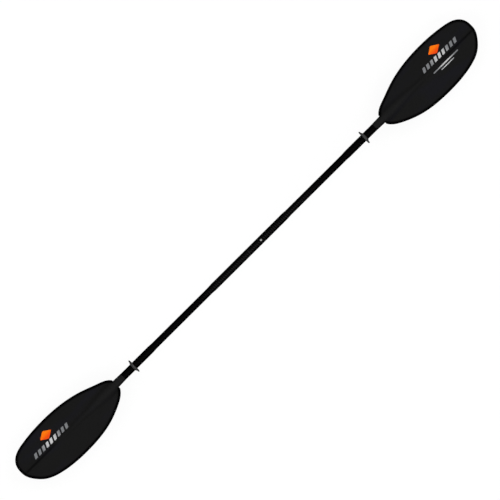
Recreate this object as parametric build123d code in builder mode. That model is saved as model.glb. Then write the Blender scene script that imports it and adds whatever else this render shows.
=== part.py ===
from build123d import *

import math
import os

# A two-piece touring kayak paddle. Millimetres. X runs along the shaft, from the left blade to the
# right blade. +Z is the side that the blades' power faces look to, and +Y the side of their long edges.
# The origin is on the shaft's axis, where the two halves meet.

os.makedirs("parts", exist_ok=True)

# Driving sizes
OVERALL_LENGTH = 2200.0
BLADE_LENGTH = 453.0
SHAFT_R = 13.6
SHAFT_WALL = 1.6

# Shaft: round, with an oval stretch for each hand
NECK_VISIBLE = 33.0
GRIP_START = 175.0
GRIP_END = 480.0
GRIP_BLEND = 16.0
GRIP_Y_R = 12.45
GRIP_Z_R = 14.4
GLUE_GAP = 0.05

# Blade
DISH_DEPTH = 17.0
TIP_RISE = 6.0
DIHEDRAL_SLOPE = 0.09
BLADE_THICKNESS = 3.2
BAND_OVERRUN = 6.0
BAND_POINTS = 10
NECK_R = 14.7
TENON_LENGTH = 64.0
TENON_BORE_R = 8.5
TENON_BORE_DEPTH = 84.0

# Ferrule
COLLAR_WIDTH = 1.2
COLLAR_R = 13.3
SPIGOT_R = 10.93
SPIGOT_LENGTH = 105.0
FERRULE_BORE_R = 9.2
FERRULE_GLUED = 90.0
SLEEVE_BORE_R = 11.0
SLEEVE_START = 0.6
SLEEVE_LENGTH = 112.0
PLUG_LENGTH = 8.0
PLUG_FLANGE = 2.0
PLUG_FLANGE_R = 10.5
PLUG_GAP = 0.1

# Snap button and its spring leaf
BUTTON_X = 58.0
BUTTON_R = 3.85
BUTTON_PROUD = 1.4
BUTTON_DOME = 1.1
BUTTON_FLANGE_R = 4.4
BUTTON_FLANGE = 0.65
RIVET_R = 1.5
RIVET_HEAD_R = 2.5
RIVET_HEAD = 0.8
FERRULE_HOLE_R = 4.0
SHAFT_HOLE_R = 4.3
FEATHER_STEP = 60.0
LEAF_THICKNESS = 0.8
LEAF_WIDTH = 9.0
LEAF_TOP_Z = 6.8
LEAF_FOOT_Z = -7.4
LEAF_MEET_X = 8.0
LEAF_BEND_R = 3.0
LEAF_FLAT = 16.0
LEAF_GAP = 0.05

# Foam bungs that keep the halves afloat
BUNG_LENGTH = 30.0
LEFT_BUNG_X = -130.0
RIGHT_BUNG_X = 118.0
RIGHT_BUNG_GAP = 0.3

# Drip rings
RING_X = 562.0
RING_R = 26.8
RING_FIT = 0.05
RING_HUB_R = 16.4
RING_HUB_OUTER = 6.5
RING_HUB_INNER = -2.6
RING_HUB_EDGE = 1.2
RING_LIP_X = 0.4
RING_LIP_HALF = 2.3
RING_CUP_X = -1.4

# Film graphics on the power faces
FILM_THICKNESS = 0.12
FILM_LIFT = 0.02
BADGE_X = 950.0
BADGE_Y = 46.5
BADGE_HALF = (27.0, 17.5)
BARS = 9
BAR_PITCH = 18.5
BAR_WIDTH = 11.5
BAR_HEIGHT = 17.0
BAR_LEAN = 8.0
BAR_Y = 10.0
PINSTRIPES = ((-13.0, 118.0, 4.4), (-23.0, 60.0, 3.0))

HALF_LENGTH = OVERALL_LENGTH / 2
SHOULDER_X = HALF_LENGTH - BLADE_LENGTH
SHAFT_END_X = SHOULDER_X - NECK_VISIBLE
BORE_R = SHAFT_R - SHAFT_WALL
TALL = 4 * SHAFT_R

# The blade's outline as distance past the shoulder and distance from the axis: long edge, tip, short edge
LONG_EDGE = ((0, 14.5), (13, 28), (53, 47), (113, 68.5), (203, 86.8), (293, 90.4), (383, 82), (433, 63.5))
TIP = ((449, 42), (453, 17), (450, -8))
SHORT_EDGE = (
    (435, -35.5),
    (408, -63),
    (353, -85.5),
    (248, -96.4),
    (178, -93.6),
    (113, -82),
    (53, -59),
    (13, -33),
    (0, -16),
)

# The blade's spine: distance past the shoulder, half-width, half-height, depth of its centre under the axis
SPINE = (
    (-NECK_VISIBLE, SHAFT_R, SHAFT_R, 0),
    (-14, 14.2, 14.2, 0),
    (4, NECK_R, NECK_R, 0),
    (60, 12.4, 10.6, 3.2),
    (140, 9.6, 7.0, 9.4),
    (220, 6.6, 3.9, 14.2),
    (285, 3.6, 1.9, 16.2),
)


def dish(x):
    """Height of the blade's power face over the axis: it sweeps back, then forward to the tip."""
    share = (x - SHOULDER_X) / BLADE_LENGTH
    return -6.75 * DISH_DEPTH * share**2 * (1 - share) + TIP_RISE * share**3


def blade_band(low, high):
    """Side view of a skin that follows the power face, from one height over it to another."""
    first = SHOULDER_X - BAND_OVERRUN
    step = (BLADE_LENGTH + 2 * BAND_OVERRUN) / (BAND_POINTS - 1)
    xs = [first + step * number for number in range(BAND_POINTS)]
    with BuildSketch(Plane.XZ) as band:
        with BuildLine():
            top = Spline(*[(x, dish(x) + high) for x in xs])
            bottom = Spline(*[(x, dish(x) + low) for x in xs])
            Line(top @ 0, bottom @ 0)
            Line(top @ 1, bottom @ 1)
        make_face()
    return band


def across(x):
    """Plane across the shaft whose first direction is up, along the hand ovals' longer axis."""
    return Plane(origin=(x, 0, 0), x_dir=(0, 0, 1), z_dir=(1, 0, 0))


def round_run(radius, start, end, mode=Mode.ADD):
    """A plain cylinder along the shaft, inside the current part."""
    with BuildSketch(Plane.YZ.offset(start)) as disc:
        Circle(radius)
    extrude(disc.sketch, amount=end - start, mode=mode)


def shaft_skin(depth, start, mode):
    """The shaft's surface, or its bore, depth under the surface: round, oval at the hand, round."""
    radius = SHAFT_R - depth
    oval = (GRIP_Z_R - depth, GRIP_Y_R - depth)
    round_run(radius, start, GRIP_START, mode)
    for round_x, oval_x in ((GRIP_START, GRIP_START + GRIP_BLEND), (GRIP_END, GRIP_END - GRIP_BLEND)):
        with BuildSketch(across(round_x)) as round_end:
            Circle(radius)
        with BuildSketch(across(oval_x)) as oval_end:
            Ellipse(*oval)
        loft([round_end.sketch, oval_end.sketch], mode=mode)
    with BuildSketch(across(GRIP_START + GRIP_BLEND)) as hand_oval:
        Ellipse(*oval)
    extrude(hand_oval.sketch, amount=GRIP_END - GRIP_START - 2 * GRIP_BLEND, mode=mode)
    round_run(radius, GRIP_END, SHAFT_END_X, mode)


def button_holes(radius, angles):
    """Holes for the snap button through a tube's wall, at angles from the top."""
    for angle in angles:
        turn = math.radians(angle)
        outwards = Plane(origin=(BUTTON_X, 0, 0), z_dir=(0, -math.sin(turn), math.cos(turn)))
        with BuildSketch(outwards) as hole:
            Circle(radius)
        extrude(hole.sketch, amount=TALL, mode=Mode.SUBTRACT)


# Right blade: a dished, dihedral plate cut to its outline, with a spine that grows out of the neck
with BuildPart() as right_blade:
    skin = blade_band(-BLADE_THICKNESS, 0).sketch
    for hand in (1, -1):
        extrude(skin, amount=BLADE_LENGTH / 4, dir=(0, hand, -DIHEDRAL_SLOPE))
    with BuildSketch(Plane.XY.offset(-TALL)):
        with BuildLine():
            outline = Spline(*[(SHOULDER_X + past, out) for past, out in LONG_EDGE + TIP + SHORT_EDGE])
            Line(outline @ 1, outline @ 0)
        make_face()
    extrude(amount=2 * TALL, mode=Mode.INTERSECT)
    for past, wide, high, depth in SPINE:
        with BuildSketch(Plane.YZ.offset(SHOULDER_X + past)):
            with Locations((0, -depth)):
                Ellipse(wide, high)
    loft(ruled=True)
    tenon_start = SHAFT_END_X - TENON_LENGTH
    round_run(BORE_R - GLUE_GAP, tenon_start, SHAFT_END_X)
    round_run(TENON_BORE_R, tenon_start, tenon_start + TENON_BORE_DEPTH, Mode.SUBTRACT)

with BuildPart() as left_blade:
    mirror(right_blade.part, about=Plane.YZ)

# Right shaft: the outer half of the joint, with a hole for each feather angle
with BuildPart() as right_shaft:
    shaft_skin(0, 0, Mode.ADD)
    shaft_skin(SHAFT_WALL, 0, Mode.SUBTRACT)
    button_holes(SHAFT_HOLE_R, (-FEATHER_STEP, 0, FEATHER_STEP))

# Left shaft: the same tube without holes, one collar shorter
with BuildPart() as left_shaft:
    shaft_skin(0, COLLAR_WIDTH, Mode.ADD)
    shaft_skin(SHAFT_WALL, COLLAR_WIDTH, Mode.SUBTRACT)
    mirror(about=Plane.YZ, mode=Mode.REPLACE)

# Male ferrule: glued in the left shaft, with a collar at the seam and a spigot with the button's hole
with BuildPart() as male_ferrule:
    round_run(BORE_R - GLUE_GAP, -FERRULE_GLUED, 0)
    round_run(COLLAR_R, -COLLAR_WIDTH, 0)
    round_run(SPIGOT_R, 0, SPIGOT_LENGTH)
    chamfer(male_ferrule.faces().sort_by(Axis.X)[-1].edges(), 1.0)
    round_run(FERRULE_BORE_R, -FERRULE_GLUED, SPIGOT_LENGTH, Mode.SUBTRACT)
    button_holes(FERRULE_HOLE_R, (0,))

# Plug that closes the ferrule's open end
with BuildPart() as male_ferrule_plug:
    round_run(FERRULE_BORE_R - PLUG_GAP, SPIGOT_LENGTH - PLUG_LENGTH, SPIGOT_LENGTH)
    round_run(PLUG_FLANGE_R, SPIGOT_LENGTH, SPIGOT_LENGTH + PLUG_FLANGE)
    fillet(male_ferrule_plug.faces().sort_by(Axis.X)[-1].edges(), 0.8)

# Liner sleeve glued in the right shaft
with BuildPart() as female_ferrule:
    round_run(BORE_R - GLUE_GAP, SLEEVE_START, SLEEVE_LENGTH)
    round_run(SLEEVE_BORE_R, SLEEVE_START, SLEEVE_LENGTH, Mode.SUBTRACT)
    button_holes(SHAFT_HOLE_R, (-FEATHER_STEP, 0, FEATHER_STEP))

# V-shaped spring leaf: one arm on the ferrule's wall, the other flat under the button
with BuildPart() as snap_spring:
    flat_start = BUTTON_X - LEAF_FLAT / 2
    flat_end = BUTTON_X + LEAF_FLAT / 2
    with BuildSketch(Plane.XZ):
        with BuildLine():
            FilletPolyline(
                (flat_end, LEAF_TOP_Z),
                (flat_start, LEAF_TOP_Z),
                (LEAF_MEET_X, 0),
                (flat_end - 4, LEAF_FOOT_Z),
                radius=LEAF_BEND_R,
            )
        trace(line_width=LEAF_THICKNESS)
    extrude(amount=LEAF_WIDTH / 2, both=True)
    with BuildSketch(Plane.XY.offset(LEAF_TOP_Z - LEAF_THICKNESS)):
        with Locations((BUTTON_X, 0)):
            Circle(RIVET_R + LEAF_GAP)
    extrude(amount=2 * LEAF_THICKNESS, mode=Mode.SUBTRACT)

# Snap button: domed cup, flange that stops it in the ferrule, and a rivet through the leaf
with BuildPart() as snap_button:
    leaf_top = LEAF_TOP_Z + LEAF_THICKNESS / 2 + LEAF_GAP
    leaf_under = LEAF_TOP_Z - LEAF_THICKNESS / 2 - LEAF_GAP
    button_top = SHAFT_R + BUTTON_PROUD
    dome_radius = (BUTTON_R**2 + BUTTON_DOME**2) / (2 * BUTTON_DOME)
    with BuildSketch(Plane.XZ.shift_origin((BUTTON_X, 0, 0))):
        with BuildLine():
            Polyline(
                (0, button_top),
                (0, leaf_under - RIVET_HEAD),
                (RIVET_HEAD_R, leaf_under - RIVET_HEAD),
                (RIVET_HEAD_R, leaf_under),
                (RIVET_R, leaf_under),
                (RIVET_R, leaf_top),
                (BUTTON_FLANGE_R, leaf_top),
                (BUTTON_FLANGE_R, leaf_top + BUTTON_FLANGE),
                (BUTTON_R, leaf_top + BUTTON_FLANGE),
                (BUTTON_R, button_top - BUTTON_DOME),
            )
            RadiusArc((BUTTON_R, button_top - BUTTON_DOME), (0, button_top), -dome_radius)
        make_face()
    revolve(axis=Axis((BUTTON_X, 0, 0), (0, 0, 1)))

# Foam bungs
with BuildPart() as left_foam_bung:
    round_run(BORE_R - GLUE_GAP, LEFT_BUNG_X, LEFT_BUNG_X + BUNG_LENGTH)

with BuildPart() as right_foam_bung:
    round_run(BORE_R - RIGHT_BUNG_GAP, RIGHT_BUNG_X, RIGHT_BUNG_X + BUNG_LENGTH)

# Drip ring: a short hub whose flange leaves its blade end and leans like a cup towards the hand
with BuildPart() as right_drip_ring:
    with BuildSketch(Plane.XY.shift_origin((RING_X, 0, 0))):
        with BuildLine():
            bore = SHAFT_R + RING_FIT
            Polyline(
                (RING_CUP_X, RING_HUB_R),
                (RING_HUB_INNER, RING_HUB_R - RING_HUB_EDGE),
                (RING_HUB_INNER, bore),
                (RING_HUB_OUTER, bore),
                (RING_HUB_OUTER, RING_HUB_R - RING_HUB_EDGE),
                (RING_HUB_OUTER - RING_HUB_EDGE, RING_HUB_R),
            )
            Spline(
                (RING_HUB_OUTER - RING_HUB_EDGE, RING_HUB_R),
                (RING_LIP_X + RING_LIP_HALF, RING_R - RING_LIP_HALF),
                tangents=((-0.35, 1), (-0.3, 1)),
            )
            ThreePointArc(
                (RING_LIP_X + RING_LIP_HALF, RING_R - RING_LIP_HALF),
                (RING_LIP_X, RING_R),
                (RING_LIP_X - RING_LIP_HALF, RING_R - RING_LIP_HALF),
            )
            Spline(
                (RING_LIP_X - RING_LIP_HALF, RING_R - RING_LIP_HALF),
                (RING_CUP_X, RING_HUB_R),
                tangents=((0.35, -1), (-0.3, -1)),
            )
        make_face()
    revolve(axis=Axis.X)

with BuildPart() as left_drip_ring:
    mirror(right_drip_ring.part, about=Plane.YZ)


def film_blank(hand):
    """Thin film over the power face, on the long edge's side (1) or the short edge's (-1)."""
    skin = blade_band(FILM_LIFT, FILM_LIFT + FILM_THICKNESS).sketch
    extrude(skin, amount=BLADE_LENGTH / 4, dir=(0, hand, -DIHEDRAL_SLOPE))


def badge_outline():
    """A rhombus with softened corners."""
    with BuildSketch(Plane.XY.offset(-TALL)) as rhombus:
        with BuildLine():
            Polyline(
                (BADGE_X - BADGE_HALF[0], BADGE_Y),
                (BADGE_X, BADGE_Y - BADGE_HALF[1]),
                (BADGE_X + BADGE_HALF[0], BADGE_Y),
                (BADGE_X, BADGE_Y + BADGE_HALF[1]),
                close=True,
            )
        make_face()
        fillet(rhombus.vertices(), 3.0)
    return rhombus.sketch


def bar_outlines(lean):
    """A row of slanted bars under the badge, centred on it."""
    with BuildSketch(Plane.XY.offset(-TALL)) as bars:
        for number in range(BARS):
            left = BADGE_X + (number - (BARS - 1) / 2) * BAR_PITCH - (BAR_WIDTH + lean) / 2
            with BuildLine():
                Polyline(
                    (left, BAR_Y),
                    (left + BAR_WIDTH, BAR_Y),
                    (left + BAR_WIDTH + lean, BAR_Y + BAR_HEIGHT),
                    (left + lean, BAR_Y + BAR_HEIGHT),
                    close=True,
                )
            make_face()
    return bars.sketch


with BuildPart() as right_blade_badge:
    film_blank(1)
    extrude(badge_outline(), amount=2 * TALL, mode=Mode.INTERSECT)

with BuildPart() as left_blade_badge:
    mirror(right_blade_badge.part, about=Plane.YZ)

with BuildPart() as right_blade_stripes:
    film_blank(1)
    extrude(bar_outlines(BAR_LEAN), amount=2 * TALL, mode=Mode.INTERSECT)

with BuildPart() as left_blade_stripes:
    film_blank(1)
    extrude(bar_outlines(-BAR_LEAN), amount=2 * TALL, mode=Mode.INTERSECT)
    mirror(about=Plane.YZ, mode=Mode.REPLACE)

with BuildPart() as right_blade_pinstripes:
    film_blank(-1)
    with BuildSketch(Plane.XY.offset(-TALL)):
        for centre_y, length, width in PINSTRIPES:
            with Locations((BADGE_X, centre_y)):
                Rectangle(length, width)
    extrude(amount=2 * TALL, mode=Mode.INTERSECT)

for label, piece in {
    "left_blade": left_blade,
    "right_blade": right_blade,
    "left_shaft": left_shaft,
    "right_shaft": right_shaft,
    "male_ferrule": male_ferrule,
    "male_ferrule_plug": male_ferrule_plug,
    "female_ferrule": female_ferrule,
    "snap_spring": snap_spring,
    "snap_button": snap_button,
    "left_foam_bung": left_foam_bung,
    "right_foam_bung": right_foam_bung,
    "left_drip_ring": left_drip_ring,
    "right_drip_ring": right_drip_ring,
    "left_blade_badge": left_blade_badge,
    "left_blade_stripes": left_blade_stripes,
    "right_blade_badge": right_blade_badge,
    "right_blade_stripes": right_blade_stripes,
    "right_blade_pinstripes": right_blade_pinstripes,
}.items():
    piece.part.label = label
    export_step(piece.part, f"parts/{label}.step")
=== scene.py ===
"""A two-piece touring paddle: nylon blades, a carbon shaft, a ferrule with a snap button and drip rings."""

import logging
import math
from dataclasses import dataclass, field
from enum import Enum
from typing import Optional, Sequence

import bmesh
import bpy
import numpy as np
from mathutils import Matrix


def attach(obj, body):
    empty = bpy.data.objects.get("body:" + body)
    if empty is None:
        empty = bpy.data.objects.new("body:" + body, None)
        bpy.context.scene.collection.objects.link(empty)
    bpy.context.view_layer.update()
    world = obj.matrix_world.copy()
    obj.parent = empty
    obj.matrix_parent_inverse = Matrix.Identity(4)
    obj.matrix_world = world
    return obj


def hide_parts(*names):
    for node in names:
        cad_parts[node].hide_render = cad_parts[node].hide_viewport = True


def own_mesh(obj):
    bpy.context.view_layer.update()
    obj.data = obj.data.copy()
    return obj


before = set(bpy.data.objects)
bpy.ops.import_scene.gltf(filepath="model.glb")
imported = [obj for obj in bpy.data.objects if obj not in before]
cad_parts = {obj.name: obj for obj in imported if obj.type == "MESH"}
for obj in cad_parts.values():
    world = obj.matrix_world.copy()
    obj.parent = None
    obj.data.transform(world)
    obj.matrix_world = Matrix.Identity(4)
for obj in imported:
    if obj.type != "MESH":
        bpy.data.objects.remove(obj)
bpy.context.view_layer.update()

LOG = logging.getLogger("paddle")
MM = 0.001
WELD = 2e-6
SLIVER = 1e-6
Colour = tuple[float, float, float]
Point2 = tuple[float, float]


class End(Enum):
    """The two ends of the paddle, as the sign of X."""

    LEFT = -1
    RIGHT = 1

    @property
    def word(self) -> str:
        """The end's name as the CAD nodes spell it."""
        return self.name.lower()

    @property
    def body(self) -> str:
        """The rigid half that everything fixed at this end rides on."""
        return f"{self.word}_half"


class Face(Enum):
    """The two faces of a blade: the one that pulls the water and the back."""

    POWER = 1
    BACK = -1


# ---------------------------------------------------------------- finishes


class NodeBench:
    """Lays out one material's shader nodes."""

    def __init__(self, name: str) -> None:
        """Starts a material with an empty Principled shader.

        Args:
            name: The material's name.
        """
        self.material = bpy.data.materials.new(name)
        self.material.use_nodes = True
        self.tree = self.material.node_tree
        self.tree.nodes.clear()
        output = self.tree.nodes.new("ShaderNodeOutputMaterial")
        self.shader = self.tree.nodes.new("ShaderNodeBsdfPrincipled")
        self.tree.links.new(self.shader.outputs["BSDF"], output.inputs["Surface"])

    def join(self, source: object, target: bpy.types.NodeSocket) -> None:
        """Links a socket to a target, or sets the target to a plain number or vector.

        Args:
            source: A node socket, a number or a tuple.
            target: The input that takes it.
        """
        if isinstance(source, bpy.types.NodeSocket):
            self.tree.links.new(source, target)
        else:
            target.default_value = source

    def plain(self, **values: object) -> None:
        """Sets values that are the same all over the surface on the shader itself.

        Args:
            **values: Shader inputs with underscores for spaces.
        """
        for name, value in values.items():
            self.shader.inputs[name.replace("_", " ")].default_value = value

    def place(self) -> bpy.types.NodeSocket:
        """The surface point in the piece's own frame, in metres."""
        return self.tree.nodes.new("ShaderNodeTexCoord").outputs["Object"]

    def trait(self, name: str) -> bpy.types.NodeSocket:
        """A number that the mesh carries at each point.

        Args:
            name: The mesh attribute's name.

        Returns:
            The attribute as a factor.
        """
        node = self.tree.nodes.new("ShaderNodeAttribute")
        node.attribute_name = name
        return node.outputs["Fac"]

    def axes(self, vector: bpy.types.NodeSocket) -> list[bpy.types.NodeSocket]:
        """The three parts of a vector.

        Args:
            vector: The vector to take apart.

        Returns:
            Its X, Y and Z.
        """
        node = self.tree.nodes.new("ShaderNodeSeparateXYZ")
        self.join(vector, node.inputs[0])
        return list(node.outputs)

    def pack(self, x: object, y: object, z: object) -> bpy.types.NodeSocket:
        """A vector from three parts.

        Args:
            x: The first part.
            y: The second part.
            z: The third part.

        Returns:
            The vector.
        """
        node = self.tree.nodes.new("ShaderNodeCombineXYZ")
        for part, target in zip((x, y, z), node.inputs):
            self.join(part, target)
        return node.outputs[0]

    def sum(self, operation: str, *parts: object) -> bpy.types.NodeSocket:
        """One step of arithmetic.

        Args:
            operation: The Math node's operation.
            *parts: Its one to three inputs.

        Returns:
            The result.
        """
        node = self.tree.nodes.new("ShaderNodeMath")
        node.operation = operation
        for part, target in zip(parts, node.inputs):
            self.join(part, target)
        return node.outputs[0]

    def stretch(self, vector: bpy.types.NodeSocket, scale: Sequence[float]) -> bpy.types.NodeSocket:
        """A vector scaled along each axis.

        Args:
            vector: The vector to scale.
            scale: One factor for each axis.

        Returns:
            The scaled vector.
        """
        node = self.tree.nodes.new("ShaderNodeVectorMath")
        node.operation = "MULTIPLY"
        self.join(vector, node.inputs[0])
        node.inputs[1].default_value = scale
        return node.outputs[0]

    def noise(self, vector: bpy.types.NodeSocket, scale: float, detail: float = 3.0) -> bpy.types.NodeSocket:
        """Soft noise between 0 and 1.

        Args:
            vector: Where to read it.
            scale: How many features in a metre.
            detail: How many finer layers it has.

        Returns:
            The noise.
        """
        node = self.tree.nodes.new("ShaderNodeTexNoise")
        self.join(vector, node.inputs["Vector"])
        node.inputs["Scale"].default_value = scale
        node.inputs["Detail"].default_value = detail
        return node.outputs["Fac"]

    def cells(self, vector: bpy.types.NodeSocket, scale: float, edges: bool = False) -> bpy.types.NodeSocket:
        """Distance to the nearest cell's middle, or to the nearest edge between cells.

        Args:
            vector: Where to read it.
            scale: How many cells in a metre.
            edges: Whether to measure to the edges.

        Returns:
            The distance.
        """
        node = self.tree.nodes.new("ShaderNodeTexVoronoi")
        node.feature = "DISTANCE_TO_EDGE" if edges else "F1"
        self.join(vector, node.inputs["Vector"])
        node.inputs["Scale"].default_value = scale
        return node.outputs["Distance"]

    def span(
        self, value: object, low: float, high: float, first: float = 0.0, last: float = 1.0
    ) -> bpy.types.NodeSocket:
        """A value moved smoothly from one range to another, held at its ends.

        Args:
            value: The value.
            low: Where the range starts.
            high: Where it stops.
            first: The result at the start.
            last: The result at the stop.

        Returns:
            The moved value.
        """
        node = self.tree.nodes.new("ShaderNodeMapRange")
        node.interpolation_type = "SMOOTHSTEP"
        for part, target in zip((value, low, high, first, last), node.inputs):
            self.join(part, target)
        return node.outputs[0]

    def tint(self, share: object, first: object, second: object) -> bpy.types.NodeSocket:
        """A colour between two colours.

        Args:
            share: How much of the second.
            first: A colour or a socket.
            second: A colour or a socket.

        Returns:
            The colour between them.
        """
        node = self.tree.nodes.new("ShaderNodeMix")
        node.data_type = "RGBA"
        self.join(share, node.inputs[0])
        for colour, target in ((first, node.inputs[6]), (second, node.inputs[7])):
            self.join((*colour, 1.0) if isinstance(colour, tuple) else colour, target)
        return node.outputs[2]

    def relief(
        self, height: bpy.types.NodeSocket, depth: float, strength: float = 1.0, over: object = None
    ) -> bpy.types.NodeSocket:
        """A bumped normal.

        Args:
            height: The relief, from 0 to 1.
            depth: What 1 stands for, in metres.
            strength: How much of it shows.
            over: A normal that this one adds to.

        Returns:
            The normal.
        """
        node = self.tree.nodes.new("ShaderNodeBump")
        node.inputs["Strength"].default_value = strength
        node.inputs["Distance"].default_value = depth
        self.join(height, node.inputs["Height"])
        if over is not None:
            self.join(over, node.inputs["Normal"])
        return node.outputs[0]

    def finish(
        self,
        colour: object,
        roughness: object,
        normal: Optional[bpy.types.NodeSocket] = None,
        shine: Optional[bpy.types.NodeSocket] = None,
    ) -> bpy.types.Material:
        """Feeds the shader and hands the material over.

        Args:
            colour: The base colour's socket.
            roughness: The roughness's socket or number.
            normal: The bumped normal, if any.
            shine: The specular level's socket, if it varies over the piece.

        Returns:
            The finished material.
        """
        self.join(colour, self.shader.inputs["Base Color"])
        self.join(roughness, self.shader.inputs["Roughness"])
        if normal is not None:
            self.join(normal, self.shader.inputs["Normal"])
        if shine is not None:
            self.join(shine, self.shader.inputs["Specular IOR Level"])
        return self.material


@dataclass(frozen=True)
class BladeNylon:
    """Glass-filled nylon as it leaves the mould: satin, with flow marks and a fine grain."""

    base: Colour = (0.0076, 0.0076, 0.0075)
    cool: Colour = (0.0078, 0.0077, 0.0098)
    # Painted highlight for the neck and the spine's start.
    root: Colour = (0.0108, 0.0108, 0.0108)
    # Painted shade for the band along the rim and the crease near the tip.
    rim: Colour = (0.0006, 0.0006, 0.0006)
    scuff: Colour = (0.030, 0.030, 0.031)
    grain_per_m: float = 1500.0
    grain_depth: float = 0.00006
    smooth: float = 0.42
    rough: float = 0.50
    gloss: float = 0.055
    rim_gloss: float = 0.01

    def make(self) -> bpy.types.Material:
        """Builds the material from the blade's traits: the painted shade at its rim and in the crease, the
        painted highlight on the neck and the spine's start, and its worn tip.

        Returns:
            The material.
        """
        bench = NodeBench("blade_nylon")
        place = bench.place()
        flow = bench.noise(bench.stretch(place, (3.0, 14.0, 14.0)), 1.6, 4.0)
        colour = bench.tint(bench.span(flow, 0.50, 0.68), self.base, self.cool)
        # Painted highlight: the neck and the spine's start are made lighter.
        colour = bench.tint(bench.sum("MULTIPLY", bench.trait("root"), 0.8), colour, self.root)
        # Painted shade: darker along the rim and in the crease near the tip.
        colour = bench.tint(bench.trait("rim"), colour, self.rim)
        nicks = bench.noise(bench.stretch(place, (1.0, 1.0, 0.3)), 420.0, 5.0)
        worn = bench.sum("MULTIPLY", bench.span(nicks, 0.62, 0.70), bench.trait("tip"))
        colour = bench.tint(bench.sum("MULTIPLY", worn, 0.7), colour, self.scuff)
        grain = bench.noise(place, self.grain_per_m, 2.0)
        streaks = bench.noise(bench.stretch(place, (0.05, 1.0, 1.0)), 900.0, 2.0)
        normal = bench.relief(grain, self.grain_depth, 0.55)
        normal = bench.relief(streaks, 0.00002, 0.4, normal)
        normal = bench.relief(bench.noise(place, 26.0, 1.0), 0.0006, 0.25, normal)
        patches = bench.noise(bench.stretch(place, (1.0, 2.5, 2.5)), 9.0, 4.0)
        roughness = bench.span(patches, 0.3, 0.7, self.smooth, self.rough)
        shine = bench.span(bench.trait("rim"), 0.0, 1.0, self.gloss, self.rim_gloss)
        return bench.finish(colour, roughness, normal, shine)


@dataclass(frozen=True)
class CarbonTube:
    """Twill carbon under a thin satin coat, with the faint spiral that the shrink tape leaves: a slight
    relief with painted shade in its bands, and painted shade towards the tube's ends.
    """

    tows_round: int = 40
    tow: float = 0.002136
    # Painted sheen: the tows that run along the tube are given the lighter colour.
    along: Colour = (0.0026, 0.0026, 0.0027)
    across: Colour = (0.0012, 0.0012, 0.0013)
    # Painted shade, used between the tows, in the tape's spiral and towards the tube's ends.
    shade_tone: Colour = (0.0004, 0.0004, 0.0004)
    tape_pitch: float = 0.0081
    dim: float = 0.92
    ripple_middle: float = 0.04
    ripple_half: float = 0.19
    ripple_fade: float = 0.11
    smooth: float = 0.24
    rough: float = 0.34
    gloss: float = 0.62
    shaded_gloss: float = 0.04

    def make(self) -> bpy.types.Material:
        """Builds the weave from the distance along the tube and the angle round it.

        Returns:
            The material.
        """
        bench = NodeBench("carbon_tube")
        place = bench.place()
        x, y, z = bench.axes(place)
        angle = bench.sum("DIVIDE", bench.sum("ARCTAN2", y, z), 2 * math.pi)
        u = bench.sum("DIVIDE", bench.sum("ADD", x, 2.0), self.tow)
        v = bench.sum("MULTIPLY", bench.sum("ADD", angle, 2.0), float(self.tows_round))
        step = bench.sum("ADD", bench.sum("FLOOR", u), bench.sum("FLOOR", v))
        lies_along = bench.sum("LESS_THAN", bench.sum("MODULO", step, 4.0), 2.0)
        along_crown = bench.sum("SINE", bench.sum("MULTIPLY", bench.sum("FRACT", v), math.pi))
        across_crown = bench.sum("SINE", bench.sum("MULTIPLY", bench.sum("FRACT", u), math.pi))
        lies_across = bench.sum("SUBTRACT", 1.0, lies_along)
        crossing = bench.sum("MULTIPLY", lies_across, across_crown)
        crown = bench.sum("MULTIPLY_ADD", lies_along, along_crown, crossing)
        ring = bench.pack(bench.sum("MULTIPLY", x, 12.0), y, z)
        fibres_across = bench.noise(ring, 700.0, 2.0)
        fibres_along = bench.noise(bench.stretch(place, (0.04, 1.0, 1.0)), 5200.0, 2.0)
        # Painted sheen on the tows that run along the tube.
        colour = bench.tint(lies_along, self.across, self.along)
        colour = bench.tint(bench.span(fibres_along, 0.35, 0.75, 0.0, 0.35), colour, self.across)
        # Painted shade in the dips between the tows' crowns.
        dip = bench.sum("SUBTRACT", 1.0, crown)
        colour = bench.tint(bench.sum("MULTIPLY", dip, 0.6), colour, self.shade_tone)
        # Painted shade in bands along the shrink tape's spiral.
        spiral = bench.sum("ADD", bench.sum("DIVIDE", x, self.tape_pitch), angle)
        wave = bench.sum("SINE", bench.sum("MULTIPLY", spiral, 2 * math.pi))
        tape = bench.sum("MULTIPLY_ADD", wave, 0.5, 0.5)
        wander = bench.span(bench.noise(place, 11.0, 2.0), 0.35, 0.65, 0.7, 1.0)
        ripple = bench.sum("MULTIPLY", bench.sum("MULTIPLY", tape, wander), self.dim)
        # Painted shade towards the tube's ends, outside the middle stretch.
        from_middle = bench.sum("ABSOLUTE", bench.sum("SUBTRACT", x, self.ripple_middle))
        fade_end = self.ripple_half + self.ripple_fade
        shaded_ends = bench.span(from_middle, self.ripple_half, fade_end, 0.0, 0.75)
        shade = bench.sum("MAXIMUM", ripple, shaded_ends)
        colour = bench.tint(shade, colour, self.shade_tone)
        normal = bench.relief(crown, 0.00005, 0.35)
        normal = bench.relief(tape, 0.00006, 0.5, normal)
        uneven = bench.sum("MULTIPLY_ADD", lies_along, 0.1, fibres_across)
        roughness = bench.span(uneven, 0.3, 0.8, self.smooth, self.rough)
        lay = bench.span(lies_along, 0.0, 1.0, 0.40, 1.0)
        glint = bench.sum("MULTIPLY", bench.span(crown, 0.1, 0.8, 0.25, 1.0), lay)
        shine = bench.sum("MULTIPLY", bench.span(shade, 0.0, 1.0, self.gloss, self.shaded_gloss), glint)
        return bench.finish(colour, roughness, normal, shine)


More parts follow.
